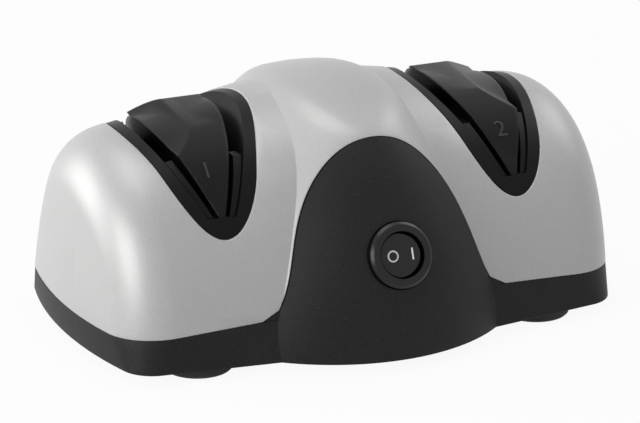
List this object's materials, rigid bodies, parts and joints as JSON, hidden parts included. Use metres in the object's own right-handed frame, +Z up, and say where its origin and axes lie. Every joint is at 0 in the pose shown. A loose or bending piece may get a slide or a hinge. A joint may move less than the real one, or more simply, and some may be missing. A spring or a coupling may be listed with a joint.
{
  "type": "electric knife sharpener",
  "caption": "Countertop electric knife sharpener: silver loaf-shaped housing with two blade-slot stages, a domed middle, a black base and arch panel with a round rocker switch, on rubber feet.",
  "frame": {"origin": "on the table under the middle of the housing", "axes": "+X along the housing from stage 1 to stage 2, +Y from the switch panel to the cord side, +Z up"},
  "size_m": [0.2234, 0.168, 0.0975],
  "materials": {
    "silver_shell": "satin silver paint on moulded ABS",
    "black_shell": "fine spark-textured black ABS",
    "black_insert": "satin black ABS",
    "ground_steel": "ground bar",
    "bright_steel": "bright zinc plate",
    "core_steel": "laminated and oiled",
    "bobbin_nylon": "natural nylon",
    "copper_winding": "varnished copper wire",
    "bracket_alloy": "die-cast, as cast",
    "bush_bronze": "sintered bronze",
    "coarse_grit": "bonded coarse grit",
    "fine_grit": "bonded fine grit",
    "hub_nylon": "natural nylon",
    "switch_black": "black nylon with white printed O and I",
    "terminal_brass": "tinned brass",
    "gland_rubber": "black rubber",
    "foot_rubber": "soft black rubber"
  },
  "bodies": {
    "housing": {"upper_housing": "silver_shell", "base_housing": "black_shell", "saddle_1": "black_insert", "saddle_2": "black_insert", "wedge_1": "black_insert", "wedge_2": "black_insert", "leaf_1_inner_front": "black_insert", "leaf_1_inner_rear": "black_insert", "leaf_1_outer_front": "black_insert", "leaf_1_outer_rear": "black_insert", "leaf_2_inner_front": "black_insert", "leaf_2_inner_rear": "black_insert", "leaf_2_outer_front": "black_insert", "leaf_2_outer_rear": "black_insert", "stator": "core_steel", "coil_bobbin": "bobbin_nylon", "coil": "copper_winding", "motor_bolts": "bright_steel", "motor_screws": "bright_steel", "post_screws": "bright_steel", "case_screws": "bright_steel", "switch_body": "switch_black", "switch_terminals": "terminal_brass", "cord_gland": "gland_rubber", "motor_bracket_left": "bracket_alloy", "motor_bracket_right": "bracket_alloy", "bearing_post_left": "black_insert", "bearing_post_right": "black_insert", "motor_bush_left": "bush_bronze", "motor_bush_right": "bush_bronze", "post_bush_left": "bush_bronze", "post_bush_right": "bush_bronze", "foot_front_left": "foot_rubber", "foot_front_right": "foot_rubber", "foot_rear_left": "foot_rubber", "foot_rear_right": "foot_rubber"},
    "rotor_body": {"drive_shaft": "ground_steel", "drive_pins": "bright_steel", "retaining_rings": "bright_steel", "rotor": "core_steel", "spring_1_inner": "bright_steel", "spring_1_outer": "bright_steel", "spring_2_inner": "bright_steel", "spring_2_outer": "bright_steel"},
    "rocker": {"switch_rocker": "switch_black"},
    "wheel_set_1_inner": {"wheel_1_inner": "coarse_grit", "hub_1_inner": "hub_nylon"},
    "wheel_set_1_outer": {"wheel_1_outer": "coarse_grit", "hub_1_outer": "hub_nylon"},
    "wheel_set_2_inner": {"wheel_2_inner": "fine_grit", "hub_2_inner": "hub_nylon"},
    "wheel_set_2_outer": {"wheel_2_outer": "fine_grit", "hub_2_outer": "hub_nylon"}
  },
  "joints": [
    {"name": "shaft_spin", "type": "hinge", "parent": "housing", "child": "rotor_body", "pos_m": [0, 0, 0.04], "axis": [1, 0, 0], "continuous": true},
    {"name": "rocker_tilt", "type": "hinge", "parent": "housing", "child": "rocker", "pos_m": [0, -0.07226, 0.04253], "axis": [0, 0.3665, 0.9304], "range_deg": [0, 22]},
    {"name": "wheel_slide_1_inner", "type": "slide", "parent": "rotor_body", "child": "wheel_set_1_inner", "axis": [1, 0, 0], "range_m": [0, 0.0015], "stiffness_N_per_m": 400, "springref_m": -0.003, "deforming": ["spring_1_inner"]},
    {"name": "wheel_slide_1_outer", "type": "slide", "parent": "rotor_body", "child": "wheel_set_1_outer", "axis": [-1, 0, 0], "range_m": [0, 0.0015], "stiffness_N_per_m": 400, "springref_m": -0.003, "deforming": ["spring_1_outer"]},
    {"name": "wheel_slide_2_inner", "type": "slide", "parent": "rotor_body", "child": "wheel_set_2_inner", "axis": [-1, 0, 0], "range_m": [0, 0.0015], "stiffness_N_per_m": 400, "springref_m": -0.003, "deforming": ["spring_2_inner"]},
    {"name": "wheel_slide_2_outer", "type": "slide", "parent": "rotor_body", "child": "wheel_set_2_outer", "axis": [1, 0, 0], "range_m": [0, 0.0015], "stiffness_N_per_m": 400, "springref_m": -0.003, "deforming": ["spring_2_outer"]}
  ]
}
